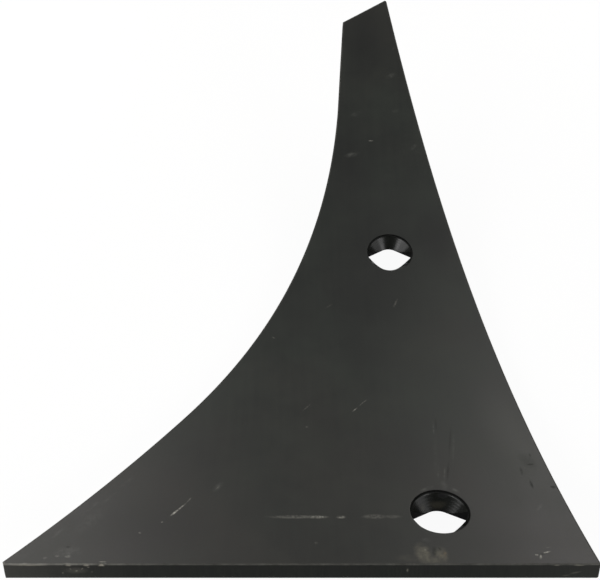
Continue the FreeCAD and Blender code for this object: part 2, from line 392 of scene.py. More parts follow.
def crossings(loop, level):
    """Where a closed loop of flat points crosses a line parallel to the share edge."""
    found = []
    for this, following in zip(loop, loop[1:] + loop[:1]):
        if (this.y - level) * (following.y - level) < 0:
            share = (level - this.y) / (following.y - this.y)
            found.append(this.x + (following.x - this.x) * share)
    return min(found), max(found)


def field_points(loop, keep_out):
    """Points in even rows inside a loop, clear of it and of the holes."""
    margin = 0.75 * FIELD_STEP
    inset = 1.2 * margin
    top = max(point.y for point in loop)
    points = []
    for row in range(int((top - 2 * margin) / ROW_STEP)):
        level = margin + row * ROW_STEP
        left, right = crossings(loop, level)
        room = right - left - 2 * inset
        if room <= 0:
            continue
        count = max(1, round(room / FIELD_STEP))
        shift = 0.25 if row % 2 else -0.25
        for column in range(count + 1):
            x = left + inset + room * (column + shift) / count
            if left + margin < x < right - margin:
                point = Vector((x, level))
                if all((point - hole).length > keep_out(point - hole) for hole in bolt_holes):
                    points.append(point)
    return points


print("rows of points are", round(ROW_STEP, 2), "mm apart")

# %% Fill a broad face with triangles
def fill_face(rim, hole_rims, keep_out, height, soil_side):
    """Fill a broad face between its outer ring and the rings of its holes."""
    loops = [rim] + hole_rims
    fixed = [index for loop in loops for index in loop]
    flat = [vertices[index].xy for index in fixed]
    edges, start = [], 0
    for loop in loops:
        edges += [(start + i, start + (i + 1) % len(loop)) for i in range(len(loop))]
        start += len(loop)
    field = field_points([vertices[index].xy for index in rim], keep_out)
    made = geometry.delaunay_2d_cdt(flat + field, edges, [], 1, 1e-7)
    numbers = []
    for place, sources in zip(made[0], made[3]):
        known = [source for source in sources if source < len(fixed)]
        if known:
            numbers.append(fixed[known[0]])
        else:
            numbers.append(len(vertices))
            vertices.append(Vector((place.x, place.y, height)))
    for triangle in made[2]:
        corners = [numbers[i] for i in triangle]
        if any(set(corners) <= set(hole_rim) for hole_rim in hole_rims):
            continue
        faces.append(corners if soil_side else corners[::-1])
        kinds.append(FACE)


print("a face starts from at most", len(cut_rings[0]) + 2 * len(seat_rims[0]), "border points")

# %% The two broad faces close the blank
def mouth_reach(offset):
    """How far from a bolt's axis the field starts on the soil face, the same to all sides."""
    return HEAD_RADIUS + CLEAR_OF_HOLES


def neck_reach(offset):
    """How far from a bolt's axis the field starts on the back, which depends on the side."""
    return neck_radius(math.atan2(offset.y, offset.x)) + CLEAR_OF_HOLES


fill_face(cut_rings[0], seat_rims, mouth_reach, 0.0, True)
fill_face(cut_rings[-1], neck_rims, neck_reach, -THICKNESS, False)
print("blank:", len(vertices), "points,", len(faces), "faces")

# %% Make the mesh, with the kind of each face
blank = bpy.data.meshes.new("flat_blank")
blank.from_pydata([tuple(v * MM) for v in vertices], [], [tuple(face) for face in faces])
kind_layer = blank.attributes.new("finish", "INT", "FACE")
kind_layer.data.foreach_set("value", kinds)
blank.validate(verbose=True)
print("mesh:", len(blank.vertices), "points,", len(blank.polygons), "faces")

# %% [markdown]
# ## Shading of the blank
# All faces are shaded smooth, and only edges where the surface turns sharply stay crisp: both
# rims of the neck, the corners of its notches and the two ends of the wing tip's facet.

# %% Smooth faces with crisp edges
SHARP_ANGLE = 32
blank.shade_smooth()
blank.set_sharp_from_angle(angle=math.radians(SHARP_ANGLE))
plate = bpy.data.objects.new("rolled_plate", blank)
bpy.context.scene.collection.objects.link(plate)
print("edges that turn by more than", SHARP_ANGLE, "degrees stay crisp")

# %% [markdown]
# ## Helpers for nodes
# Every node tree below, for shapes and for finishes, is written with one small function. It
# adds a node, sets its properties, and gives each named input either a number or a link. Four
# more write what comes again and again: a sum, a change of range, a noise and a blend of two
# colours. Each of them returns the socket that the next node reads.

# %% Add a node with its settings and links
def add(tree, kind, inputs=None, **settings):
    """Add one node. An input's value is a number, a colour or the socket that feeds it."""
    node = tree.nodes.new(kind)
    for name, value in settings.items():
        setattr(node, name, value)
    for key, value in (inputs or {}).items():
        if isinstance(value, bpy.types.NodeSocket):
            tree.links.new(value, node.inputs[key])
        else:
            node.inputs[key].default_value = value
    return node


def linear(code, alpha=1.0):
    """An sRGB hex colour as the linear colour that shaders work in."""
    parts = [int(code[i:i + 2], 16) / 255 for i in (1, 3, 5)]
    return (*[p / 12.92 if p <= 0.04045 else ((p + 0.055) / 1.055) ** 2.4 for p in parts], alpha)


print("thin paint #22201b in linear light:", [round(v, 4) for v in linear("#22201b")])

# %% The nodes that come again and again
def maths(tree, operation, *values):
    """The result of one sum."""
    return add(tree, "ShaderNodeMath", dict(enumerate(values)), operation=operation).outputs[0]


def ranged(tree, value, low, high, to_low=0.0, to_high=1.0, **settings):
    """A value moved from the range low to high to another range, and held inside it."""
    return add(tree, "ShaderNodeMapRange", {
        "Value": value, "From Min": low, "From Max": high,
        "To Min": to_low, "To Max": to_high}, **settings).outputs[0]


def noise(tree, place, width, detail, roughness):
    """A noise with patches about that wide."""
    return add(tree, "ShaderNodeTexNoise", {
        "Vector": place, "Scale": 1 / width, "Detail": detail, "Roughness": roughness}).outputs[0]


def blend(tree, share, under, over):
    """One colour going over into another by a share."""
    return add(tree, "ShaderNodeMix", {
        0: share, 6: under, 7: over}, data_type="RGBA").outputs[2]


print("helpers for nodes:", [helper.__name__ for helper in (maths, ranged, noise, blend)])

# %% [markdown]
# ## The paint
# The plate was dipped in thin black paint, which dries to a satin skin over mill scale and
# rolling marks. Paint on steel is a dielectric: no metallic share, an IOR near 1.5, and a
# roughness that says how wide its reflections spread. Everything that was done to the sheet
# follows the sheet, so all patterns read the place on the flat blank, in mm, which the rolling
# tree stores on every point. Scales are then plain lengths: a noise with a scale of 1/40 has
# patches about 40 mm wide. One paint covers everything, but it looks different on each kind of
# surface, so there are four materials: rolled face, cut edge, turned cone and punched wall.
# A mark is a round gradient, stretched and turned to its place. Taking the gradient straight
# from the mapping matters: with a vector length between them, a long table used up the space
# that a shader has, and the whole face rendered black.

# %% Start a paint, and add patterns up
PAINT_IOR = 1.5


def paint_material(name):
    """A new material: its node tree, its shader and the place on the flat blank in mm."""
    material = bpy.data.materials.new(name)
    material.use_nodes = True
    tree = material.node_tree
    shader = tree.nodes["Principled BSDF"]
    shader.inputs["IOR"].default_value = PAINT_IOR
    place = add(tree, "ShaderNodeAttribute", attribute_name="flat_mm").outputs["Vector"]
    return material, tree, shader, place


def weighted_sum(tree, parts):
    """Several patterns added up, each times its share."""
    total = 0.0
    for pattern, share in parts:
        total = maths(tree, "MULTIPLY_ADD", pattern, share, total)
    return total


print("every paint has an IOR of", PAINT_IOR)

# %% Place marks by a table
def marks(tree, place, table, soften):
    """The strongest of a list of long soft spots. Soften is where a spot is at full strength."""
    total = None
    for x, y, half_length, half_width, angle, strength in table:
        local = add(tree, "ShaderNodeMapping", {
            "Vector": place, "Location": (x, y, 0), "Rotation": (0, 0, math.radians(angle)),
            "Scale": (half_length, half_width, 1)}, vector_type="TEXTURE")
        nearness = add(tree, "ShaderNodeTexGradient", {
            "Vector": local.outputs[0]}, gradient_type="SPHERICAL")
        spot = ranged(tree, nearness.outputs["Fac"], 0.0, 1.0 - soften, 0.0, strength,
                      interpolation_type="SMOOTHSTEP")
        total = spot if total is None else maths(tree, "MAXIMUM", total, spot)
    return total


print("a mark takes six numbers: x, y, half length, half width, angle and strength")


# %% [markdown]
# ## Marks on the soil face
# Sheets are dragged, stacked and wiped. A few scratches go through the paint to grey steel, some
# are only rubbed, dust lies under the low bolt hole with a trace of rust in it, and a cloth has
# left pale smears and dark stains above it. Each mark is one line of a table, placed by its
# middle on the flat blank, so that a mark can be moved or left out without touching the nodes.

# %% Scratches: x, y, half length and half width in mm, angle in degrees, strength
SCRATCHES = [
    (-57.2, 35.7, 5.6, 0.6, 53, 0.7),
    (-59.4, 32.9, 3.0, 0.8, 52, 1.0),
    (-53.3, 41.3, 2.4, 0.5, 60, 0.35),
    (-64.4, 26.8, 0.8, 0.5, 0, 0.8),
    (-73.7, 20.0, 0.9, 0.7, 0, 0.6),
    (-40.4, 49.3, 1.9, 0.35, 53, 0.25),
    (-1.5, 30.2, 16.5, 1.4, 0, 0.27),
    (8.0, 30.1, 6.5, 1.3, 0, 0.45),
    (9.5, 30.1, 3.0, 1.1, 0, 0.6),
    (19.3, 30.1, 2.8, 1.2, 0, 0.5),
    (35.0, 30.4, 7.5, 1.9, 0, 0.2),
    (43.5, 30.4, 5.5, 1.5, 0, 0.13),
    (29.5, 103.9, 2.4, 0.5, 45, 0.5),
    (33.9, 108.7, 4.2, 0.45, 46, 0.4),
    (3.5, 105.4, 4.2, 0.6, 50, 0.13),
    (3.6, 91.5, 1.0, 0.8, 0, 0.15),
    (57.2, 183.4, 4.4, 0.8, 65, 0.18),
    (17.3, 181.1, 4.0, 0.8, 37, 0.06),
    (-15.4, 157.0, 1.6, 0.6, -33, 0.22),
    (47.6, 310.2, 2.0, 0.7, 0, 0.35),
    (110.7, 7.8, 2.4, 0.65, 20, 1.0),
    (107.2, 4.7, 2.0, 0.7, 77, 0.8),
    (105.7, 6.1, 1.0, 0.7, 0, 0.8),
    (111.9, 10.7, 1.6, 0.35, 13, 0.25),
    (7.3, 13.5, 1.1, 1.0, 0, 0.15),
    (56.2, 9.2, 0.7, 0.5, 0, 0.4),
    (-108.3, 5.4, 1.3, 0.9, 0, 0.3),
    (-103.3, 5.1, 2.0, 1.1, 0, 0.26),
    (-113.3, 4.1, 1.3, 1.0, 0, 0.15),
    (-113.7, 28.2, 2.0, 0.6, 50, 0.3),
    (-87.3, 1.8, 2.2, 0.35, 0, 0.7),
    (-86.5, 0.8, 1.4, 0.45, 0, 0.9),
]
print("scratches:", len(SCRATCHES))

# %% Smears, in the same form
SMEARS = [
    (-40.1, 50.0, 4.8, 2.2, 57, 0.45),
    (70.1, 90.4, 6.6, 0.6, 87, 0.5),
    (78.8, 77.2, 16.5, 1.0, 81, 0.2),
    (71.8, 58.8, 7.4, 0.7, 81, 0.45),
    (68.9, 60.5, 6.4, 0.8, 82, 0.4),
    (69.0, 72.0, 22.0, 1.8, 83, 0.12),
    (70.5, 51.0, 4.5, 2.4, 90, 0.35),
    (75.6, 47.8, 3.4, 1.3, -37, 0.6),
    (61.8, 49.0, 5.0, 1.3, 25, 0.8),
    (34.3, 299.2, 6.4, 2.4, 15, 0.6),
    (76.0, 305.3, 4.0, 1.8, 53, 0.38),
    (63.2, 361.0, 5.4, 2.4, 27, 0.4),
    (65.3, 381.8, 2.4, 1.1, 43, 0.45),
    (65.0, 333.5, 3.4, 1.7, 18, 0.3),
    (38.1, 331.1, 5.0, 2.2, 24, 0.35),
    (-104.0, 8.0, 9.0, 4.0, 5, 0.4),
    (-98.0, 28.0, 13.0, 5.5, 60, 0.2),
    (-92.5, 42.0, 7.0, 1.6, 54, 0.27),
    (-99.5, 36.0, 8.0, 1.6, 56, 0.25),
    (-111.5, 19.5, 6.0, 1.5, 54, 0.3),
    (-85.0, 53.5, 6.0, 1.6, 52, 0.25),
    (114.0, 36.5, 3.8, 1.2, 52, 0.4),
    (57.6, 15.4, 3.0, 2.0, 0, 0.35),
]
print("smears:", len(SMEARS))

# %% Dust, rust and stains, in the same form
DUST = [
    (55.2, 6.6, 5.0, 8.4, 12, 0.7),
    (62.8, 5.4, 4.2, 7.0, -8, 0.6),
    (58.4, 3.4, 6.5, 3.4, 0, 0.6),
    (53.6, 10.4, 2.6, 2.2, 0, 0.7),
    (49.0, 4.0, 8.0, 3.0, 0, 0.15),
]
RUST = [
    (64.9, 6.6, 3.4, 1.2, 86, 0.4),
    (63.0, 5.6, 1.2, 0.8, 0, 0.3),
]
STAINS = [
    (71.7, 93.2, 6.4, 0.9, 86, 0.38),
    (77.6, 81.7, 14.0, 0.9, 80, 0.38),
    (73.8, 60.8, 9.0, 0.9, 79, 0.5),
    (115.9, 65.3, 2.8, 0.9, 7, 0.6),
    (116.9, 71.6, 2.0, 1.0, 97, 0.35),
    (110.4, 60.8, 3.8, 1.0, 90, 0.35),
    (113.5, 51.8, 3.6, 0.9, 94, 0.6),
    (114.7, 67.6, 8.0, 4.5, 118, 0.16),
    (123.6, 50.0, 1.8, 1.2, 0, 0.6),
    (60.3, 8.2, 4.4, 1.5, 84, 0.5),
    (62.9, 9.9, 1.7, 0.9, 112, 0.55),
    (-104.7, 11.0, 1.4, 0.9, 0, 0.4),
    (108.4, 6.6, 2.6, 0.5, 15, 0.5),
]
print("spots of dust, rust and stains:", len(DUST + RUST + STAINS))

# %% [markdown]
# ## Paint on the rolled faces
# On the real plate this paint is near black and satin: the light of the studio shows in it as a
# soft sheen with no sharp image. It is a little green where it is thick, round the plate's waist,
# and warmer where it thins towards both ends. Some broad areas are painted darker as painted
# shade, and one beside the right edge is painted lighter as a painted reflection of the right
# softbox. Its tone drifts over a hand's width, wiping has left faint streaks up the sheet, and an
# orange peel finer than a millimetre breaks the sheen. Noise of several sizes gives the drift,
# the streaks and the peel. Two short tables give the broad areas and the tables above give the
# marks, which lie on the soil side only.

# %% Patterns of the rolled faces
CLOUD_WIDTH, MOTTLE_WIDTH, GRAIN_WIDTH, FLECK_WIDTH, DRIFT_WIDTH = 48.0, 9.0, 1.3, 3.2, 70.0
STREAK_WIDTH, STREAK_LENGTH = 2.6, 70.0
rolled_paint, tree, shader, place = paint_material("satin_dip_paint_on_rolled_face")
clouds = noise(tree, place, CLOUD_WIDTH, 3.0, 0.55)
mottle = noise(tree, place, MOTTLE_WIDTH, 4.0, 0.6)
streak_place = add(tree, "ShaderNodeMapping", {
    "Vector": place, "Scale": (1 / STREAK_WIDTH, 1 / STREAK_LENGTH, 0)})
streaks = noise(tree, streak_place.outputs[0], 1.0, 2.0, 0.5)
grain = noise(tree, place, GRAIN_WIDTH, 3.0, 0.6)
tone = weighted_sum(tree, [(clouds, 0.6), (mottle, 0.22), (streaks, 0.18)])
tone = ranged(tree, tone, 0.32, 0.68)
print("patterns of the rolled face:", len(tree.nodes), "nodes")

# %% Skin of paint, thick at the waist and thin at the ends
WAIST = 230.0
thick_skin = blend(tree, tone, linear("#101410"), linear("#1c211a"))
thin_skin = blend(tree, tone, linear("#161512"), linear("#22201b"))
drift = noise(tree, place, DRIFT_WIDTH, 2.0, 0.5)
split = add(tree, "ShaderNodeSeparateXYZ", {0: place})
from_waist = maths(tree, "ABSOLUTE", maths(tree, "SUBTRACT", split.outputs["Y"], WAIST))
thinning = maths(tree, "MULTIPLY_ADD", from_waist, 0.002, drift)
skin = blend(tree, ranged(tree, thinning, 0.6, 1.15), thick_skin, thin_skin)
print("the skin is thickest", WAIST, "mm up the sheet")

# %% Broad areas of painted shade and one painted reflection
# Painted shade: broad areas of the hollow face painted darker.
SHADED_AREAS = [
    (46.0, 215.0, 62.0, 115.0, 0, 0.75),
    (32.0, 288.0, 32.0, 75.0, 0, 0.85),
    (44.0, 388.0, 26.0, 44.0, 0, 0.75),
    (86.0, 232.0, 30.0, 48.0, 0, 0.8),
    (-6.0, 186.0, 36.0, 50.0, 0, 0.6),
    (34.0, 152.0, 44.0, 36.0, 0, 0.4),
    (-68.0, 24.0, 52.0, 30.0, 0, 0.45),
    (88.0, 14.0, 36.0, 20.0, 0, 0.3),
]
# Painted reflection of the right softbox: one broad area beside the right edge painted lighter.
SOFTBOX_REFLECTION = [(113.0, 82.0, 52.0, 20.0, 106, 0.5)]
flat_place = add(tree, "ShaderNodeVectorMath", {
    0: place, 1: (1, 1, 0)}, operation="MULTIPLY").outputs[0]
# The painted shade and the painted reflection go over the skin here.
for table, colour in ((SHADED_AREAS, "#080a07"), (SOFTBOX_REFLECTION, "#31322e")):
    skin = blend(tree, marks(tree, flat_place, table, 0.0), skin, linear(colour))
print("broad areas:", len(SHADED_AREAS + SOFTBOX_REFLECTION))

# %% [markdown]
# ## Marks in the skin
# No mark is an even patch. A scratch breaks up where the steel was proud or hollow, so its share
# is multiplied with the grain. Smears are patchy in flecks a few millimetres wide, dust is a
# little less so, and a stain only has ragged borders. The back gets none of them.

# %% How each kind of mark breaks up
on_soil_side = maths(tree, "GREATER_THAN", split.outputs["Z"], -THICKNESS / 2)
flecks = noise(tree, place, FLECK_WIDTH, 3.0, 0.6)
broken = ranged(tree, grain, 0.40, 0.56, 0.2, 1.0)
patchy = ranged(tree, flecks, 0.38, 0.60, 0.1, 1.0)
dusty = maths(tree, "MULTIPLY_ADD", patchy, 0.75, 0.25)
blotted = ranged(tree, grain, 0.35, 0.50, 0.6, 1.0)
print("textures of marks:", len((broken, patchy, dusty, blotted)))

# %% Lay the marks over the skin
MARK_KINDS = {  # table, how soft, how it breaks up, colour
    "smears": (SMEARS, 0.0, patchy, "#4b4c47"),
    "dust": (DUST, 0.3, dusty, "#595649"),
    "rust": (RUST, 0.0, broken, "#66553a"),
    "stains": (STAINS, 0.2, blotted, "#0e120a"),
    "scratches": (SCRATCHES, 0.3, broken, "#8f8d84"),
}
mark_shares = {}
for name, (table, soften, texture, colour) in MARK_KINDS.items():
    share = maths(tree, "MULTIPLY", marks(tree, flat_place, table, soften), texture)
    share = maths(tree, "MULTIPLY", share, on_soil_side)
    skin = blend(tree, share, skin, linear(colour))
    mark_shares[name] = share
tree.links.new(skin, shader.inputs["Base Color"])
print("rolled face:", len(tree.nodes), "nodes")

# %% [markdown]
# ## Sheen and relief of the rolled faces
# Dust and stains are duller than the skin round them. The peel's height comes from the grain,
# and a scratch is cut into it, both by a bump far finer than the mesh.

# %% Sheen and relief of the rolled faces
satin = ranged(tree, tone, 0.0, 1.0, 0.38, 0.47)
satin = maths(tree, "MULTIPLY_ADD", grain, 0.10, satin)
for name, duller in (("dust", 0.12), ("stains", 0.40)):
    satin = maths(tree, "MULTIPLY_ADD", mark_shares[name], duller, satin)
tree.links.new(satin, shader.inputs["Roughness"])
PEEL_HEIGHT, SCRATCH_DEPTH = 0.012, 0.05
peel = add(tree, "ShaderNodeBump", {
    "Height": grain, "Strength": 1.0, "Distance": PEEL_HEIGHT * MM})
cut_down = add(tree, "ShaderNodeBump", {
    "Height": mark_shares["scratches"], "Strength": 1.0,
    "Distance": SCRATCH_DEPTH * MM, "Normal": peel.outputs[0]}, invert=True)
tree.links.new(cut_down.outputs[0], shader.inputs["Normal"])
print("peel", PEEL_HEIGHT, "mm high, scratches", SCRATCH_DEPTH, "mm deep")

# %% [markdown]
# ## Paint on the cut edge
# The plate was cut with a flame or a shear, which leaves fine drag lines through the thickness.
# Paint lies thin and dull on such a face, so it hardly shines, and its colour is painted darker
# than the rolled face, partly as painted shade. Both ends of the share edge are painted greyer
# than its middle, as painted light from the side lamps. Its upper arris has a grey line, partly
# wear where the plate has been slid about and partly a painted highlight, most of all towards the
# wing tip. A fainter painted highlight line runs round the whole outline, right where the broken
# edge meets the soil face. The drag lines come from a noise that is stretched through the
# thickness, so it hardly changes with depth and runs on round every corner.

# %% Skin of the cut edge
DRAG_PITCH, DRAG_LENGTH, BLOTCH_WIDTH = 0.9, 9.0, 6.0
edge_paint, tree, shader, place = paint_material("dull_dip_paint_on_cut_edge")
drag_place = add(tree, "ShaderNodeMapping", {
    "Vector": place, "Scale": (1 / DRAG_PITCH, 1 / DRAG_PITCH, 1 / DRAG_LENGTH)})
drag_lines = noise(tree, drag_place.outputs[0], 1.0, 2.0, 0.5)
blotches = noise(tree, place, BLOTCH_WIDTH, 4.0, 0.65)
edge_tone = weighted_sum(tree, [(drag_lines, 0.4), (blotches, 0.6)])
edge_tone = ranged(tree, edge_tone, 0.34, 0.66)
# The cut edge's colour is painted darker than the rolled face's, partly as painted shade.
skin = blend(tree, edge_tone, linear("#080908"), linear("#151613"))
print("skin of the cut edge:", len(tree.nodes), "nodes")

# %% Ends of the share edge, painted lighter as painted light
LAMP_LIT_ENDS = ((-52.0, -130.0, 0.45), (70.0, 128.0, 0.16))  # x where it starts, x at its end, share
split = add(tree, "ShaderNodeSeparateXYZ", {0: place})
# Painted light: both ends of the share edge are painted greyer than its middle, where the side
# lamps light them.
for start, end, share in LAMP_LIT_ENDS:
    lamp_lit = maths(tree, "POWER", ranged(tree, split.outputs["X"], start, end), 2.0)
    skin = blend(tree, maths(tree, "MULTIPLY", lamp_lit, share), skin, linear("#3d3c39"))
print("rubbed ends:", len(LAMP_LIT_ENDS))

# %% Worn arris and painted highlight line
near_arris = ranged(tree, split.outputs["Z"], -0.5, -0.12)
on_share_edge = ranged(tree, split.outputs["Y"], 2.2, 1.2)
to_the_tip = ranged(tree, split.outputs["X"], -60.0, -125.0, 0.35, 1.0)
RUB_LENGTH = 7.0
rub_place = add(tree, "ShaderNodeMapping", {
    "Vector": place, "Scale": (1 / RUB_LENGTH, 1 / RUB_LENGTH, 0)})
rubs = noise(tree, rub_place.outputs[0], 1.0, 4.0, 0.7)
rubs = ranged(tree, rubs, 0.38, 0.62, 0.45, 0.9)
# Painted highlight: a faint light line all round the outline, where the broken edge meets the soil
# face.
highlight_line = ranged(tree, split.outputs["Z"], -0.15, -0.02, 0.0, 0.3)
worn_and_highlit = near_arris
for other, operation in ((on_share_edge, "MULTIPLY"), (to_the_tip, "MULTIPLY"),
                         (highlight_line, "MAXIMUM"), (rubs, "MULTIPLY")):
    worn_and_highlit = maths(tree, operation, worn_and_highlit, other)
# The grey line on the arris is partly wear and partly a painted highlight.
skin = blend(tree, worn_and_highlit, skin, linear("#777670"))
print("with the worn arris:", len(tree.nodes), "nodes")

# %% Chips on the share edge
CHIPS = [  # x, depth as a negative height, half length, half width, angle, strength
    (-99.0, -3.4, 6.5, 2.4, 0, 0.1),
    (-98.8, -3.6, 0.9, 0.55, 20, 0.5),
    (-101.4, -2.5, 0.7, 0.4, -30, 0.35),
    (-96.2, -2.4, 0.9, 0.4, 40, 0.4),
    (-93.4, -1.5, 0.8, 0.4, 0, 0.35),
    (-105.0, -4.8, 0.8, 0.5, 60, 0.25),
    (-92.0, -4.2, 0.7, 0.4, 0, 0.2),
    (-119.5, -0.4, 9.5, 0.5, 0, 0.4),
    (-102.2, -0.5, 1.8, 0.6, 0, 0.6),
    (-94.2, -0.5, 2.0, 0.6, 0, 0.6),
    (-87.6, -0.6, 1.8, 0.7, 0, 0.9),
    (47.5, -3.2, 1.3, 0.6, 90, 0.35),
    (113.2, -0.4, 1.6, 0.45, 0, 0.35),
    (123.0, -0.4, 3.0, 0.45, 0, 0.4),
    (122.0, -4.6, 3.2, 0.7, 14, 0.15),
    (118.0, -6.2, 2.6, 0.5, 10, 0.12),
]
across_face = add(tree, "ShaderNodeCombineXYZ", {
    0: split.outputs["X"], 1: split.outputs["Z"]})
chips = maths(
    tree, "MULTIPLY", marks(tree, across_face.outputs[0], CHIPS, 0.2), on_share_edge)
skin = blend(tree, chips, skin, linear("#77736a"))
tree.links.new(skin, shader.inputs["Base Color"])
print("chips:", len(CHIPS))

# %% Sheen and relief of the cut edge
dull = ranged(tree, blotches, 0.3, 0.7, 0.62, 0.8)
tree.links.new(dull, shader.inputs["Roughness"])
shader.inputs["Specular IOR Level"].default_value = 0.15
drag_relief = add(tree, "ShaderNodeBump", {
    "Height": drag_lines, "Strength": 1.0, "Distance": 0.05 * MM})
tree.links.new(drag_relief.outputs[0], shader.inputs["Normal"])
print("cut edge:", len(tree.nodes), "nodes")

# %% [markdown]
# ## Paint in the turned cone
# The countersink is the smoothest surface on the plate, so the paint in it shines more than
# anywhere else, and the lamps show in it as soft bright patches beside a dark middle. The turned
# rings are in the mesh already. Dust has settled at the foot of the low cone, and paint has run
# together under its rim. The share side of each cone is matt and painted near black as painted
# shade, and most of it is then painted grey over that.

# %% Skin of the cones
BLUR_WIDTH = 4.0
cone_paint, tree, shader, place = paint_material("glossy_dip_paint_in_countersink")
blur = noise(tree, place, BLUR_WIDTH, 3.0, 0.6)
skin = blend(tree, blur, linear("#040503"), linear("#0c0e0a"))
print("skin of the cones:", len(tree.nodes), "nodes")

# %% Dust and runs in the low cone
low = bolt_holes[0]
CONE_DUST = [
    (low.x + 0.3, low.y + 9.7, 5.5, 1.9, 0, 0.55),
    (low.x - 7.0, low.y + 7.5, 2.4, 1.6, 40, 0.4),
]
RUNS = [
    (low.x + 2.9, low.y + 12.8, 3.4, 1.1, -12, 1.0),
]
flat_place = add(tree, "ShaderNodeVectorMath", {
    0: place, 1: (1, 1, 0)}, operation="MULTIPLY").outputs[0]
for table, colour in ((CONE_DUST, "#34322a"), (RUNS, "#060606")):
    run_share = marks(tree, flat_place, table, 0.2)
    skin = blend(tree, run_share, skin, linear(colour))
print("spots in the low cone:", len(CONE_DUST + RUNS))

# %% The share side of both cones
SHADED_SIDES = [(hole.x, hole.y - 12.0, 15.0, 10.0, 0, 1.0) for hole in bolt_holes]
GREY_SIDES = [(hole.x, hole.y - 13.5, 16.0, 8.0, 0, 1.0) for hole in bolt_holes]
# Painted shade: the share side of each cone is painted near black, and most of it is then painted
# grey.
shaded_side = marks(tree, flat_place, SHADED_SIDES, 0.8)
greyed = marks(tree, flat_place, GREY_SIDES, 0.8)
for share, colour in ((shaded_side, "#050505"), (greyed, "#30302d")):
    skin = blend(tree, share, skin, linear(colour))
tree.links.new(skin, shader.inputs["Base Color"])
print("share sides:", len(SHADED_SIDES))

# %% Sheen of the cones
sheen = ranged(tree, blur, 0.3, 0.7, 0.22, 0.29)
# The painted-shade sides and the run are rougher.
for thick in (shaded_side, run_share):
    sheen = maths(tree, "MULTIPLY_ADD", thick, 0.5, sheen)
tree.links.new(sheen, shader.inputs["Roughness"])
shader.inputs["Specular IOR Level"].default_value = 0.18
print("cone:", len(tree.nodes), "nodes")

# %% [markdown]
# ## Paint on the punched walls
# The land at the mouth and the neck below the cone were punched. Such a wall is torn steel, matt
# and grooved along the bolt's axis, and its near-black colour is painted shade.

# %% Colour and relief of the punched walls
wall_paint, tree, shader, place = paint_material("matt_dip_paint_and_painted_shade_on_punched_wall")
GROOVE_PITCH, GROOVE_LENGTH = 0.8, 12.0
groove_place = add(tree, "ShaderNodeMapping", {
    "Vector": place, "Scale": (1 / GROOVE_PITCH, 1 / GROOVE_PITCH, 1 / GROOVE_LENGTH)})
grooves = noise(tree, groove_place.outputs[0], 1.0, 3.0, 0.6)
# Painted shade: the punched walls are painted near black.
skin = blend(tree, grooves, linear("#030303"), linear("#0b0b0a"))
tree.links.new(skin, shader.inputs["Base Color"])
matt = ranged(tree, grooves, 0.3, 0.7, 0.75, 0.9)
tree.links.new(matt, shader.inputs["Roughness"])
shader.inputs["Specular IOR Level"].default_value = 0.08
groove_relief = add(tree, "ShaderNodeBump", {
    "Height": grooves, "Strength": 1.0, "Distance": 0.08 * MM})
tree.links.new(groove_relief.outputs[0], shader.inputs["Normal"])
print("punched wall:", len(tree.nodes), "nodes")

# %% [markdown]
# ## Rolling the blank
# The shape follows one rule, so a Geometry Nodes tree makes it. A point's way up the sheet
# becomes a turn about the rolling axis, and its depth below the soil face is added to the
# rolling radius. The tree keeps the flat place as an attribute before it bends anything, and
# gives each kind of surface its own paint.

# %% Inputs of the rolling tree
PAINTS = {"Face Paint": (FACE, rolled_paint), "Cut Paint": (CUT, edge_paint),
          "Cone Paint": (CONE, cone_paint), "Wall Paint": (PUNCHED, wall_paint)}
roll = bpy.data.node_groups.new("Roll to one radius", "GeometryNodeTree")
roll.is_modifier = True
roll.interface.new_socket("Geometry", in_out="OUTPUT", socket_type="NodeSocketGeometry")
roll.interface.new_socket("Blank", in_out="INPUT", socket_type="NodeSocketGeometry")
roll_sockets = {}
for name, kind in [("Roll Radius", "Float"), ("First Turn", "Float"), ("Axis", "Vector"),
                   *[(name, "Material") for name in PAINTS]]:
    roll_sockets[name] = roll.interface.new_socket(
        name, in_out="INPUT", socket_type="NodeSocket" + kind).identifier
given = add(roll, "NodeGroupInput").outputs
print("inputs of the rolling tree:", list(roll_sockets))

# %% Keep the flat place, then bend the blank
where = add(roll, "GeometryNodeInputPosition").outputs[0]
in_mm = add(roll, "ShaderNodeVectorMath", {0: where, "Scale": 1 / MM}, operation="SCALE")
kept = add(roll, "GeometryNodeStoreNamedAttribute", {
    "Geometry": given["Blank"], "Name": "flat_mm", "Value": in_mm.outputs[0]},
    data_type="FLOAT_VECTOR", domain="POINT")
split = add(roll, "ShaderNodeSeparateXYZ", {0: where})
way_up = maths(roll, "DIVIDE", split.outputs["Y"], given["Roll Radius"])
turn = maths(roll, "ADD", way_up, given["First Turn"])
reach = maths(roll, "SUBTRACT", given["Roll Radius"], split.outputs["Z"])
sine = maths(roll, "SINE", turn)
cosine = maths(roll, "COSINE", turn)
forward = maths(roll, "MULTIPLY", sine, reach)
height = maths(roll, "MULTIPLY", cosine, reach)
below = maths(roll, "SUBTRACT", 0.0, height)
from_axis = add(roll, "ShaderNodeCombineXYZ", {0: split.outputs["X"], 1: forward, 2: below})
rolled_place = add(roll, "ShaderNodeVectorMath", {0: from_axis.outputs[0], 1: given["Axis"]})
current = add(roll, "GeometryNodeSetPosition", {
    "Geometry": kept.outputs[0], "Position": rolled_place.outputs[0]})
print("bending takes", len(roll.nodes), "nodes")

# %% Give each kind of surface its paint
current = add(roll, "GeometryNodeRealizeInstances", {"Geometry": current.outputs[0]})
finish_kind = add(roll, "GeometryNodeInputNamedAttribute", {"Name": "finish"}, data_type="INT")
for name, (number, _) in PAINTS.items():
    chosen = add(roll, "FunctionNodeCompare", {2: finish_kind.outputs[0], 3: number},
                 data_type="INT", operation="EQUAL")
    current = add(roll, "GeometryNodeSetMaterial", {
        "Geometry": current.outputs[0], "Selection": chosen.outputs[0], "Material": given[name]})
add(roll, "NodeGroupOutput", {0: current.outputs[0]})
print("rolling tree:", len(roll.nodes), "nodes")

